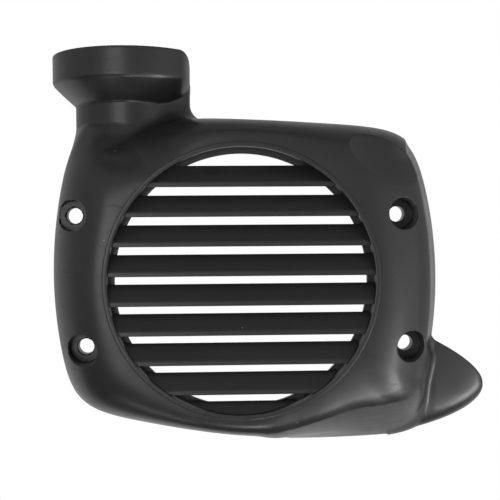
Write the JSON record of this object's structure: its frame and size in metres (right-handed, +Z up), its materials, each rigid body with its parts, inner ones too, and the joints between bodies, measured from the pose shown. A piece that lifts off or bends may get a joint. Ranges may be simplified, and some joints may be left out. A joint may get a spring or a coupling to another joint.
{
  "type": "fan cover",
  "caption": "Moulded shell over an engine's cooling fan, with a round louvred air intake, sunk screw places, a half-round duct neck and collar, and a curved guide tongue.",
  "frame": {"origin": "centre of the round intake, on the plane of the open back edge", "axes": "-Y out of the intake's front, +Y into the engine side, +Z up towards the neck and collar, +X towards the guide tongue"},
  "size_m": [0.197, 0.0428, 0.1757],
  "materials": {
    "fan_cover": "satin black moulded plastic, through-coloured"
  },
  "bodies": {
    "root": {"fan_cover": "fan_cover"}
  },
  "joints": []
}
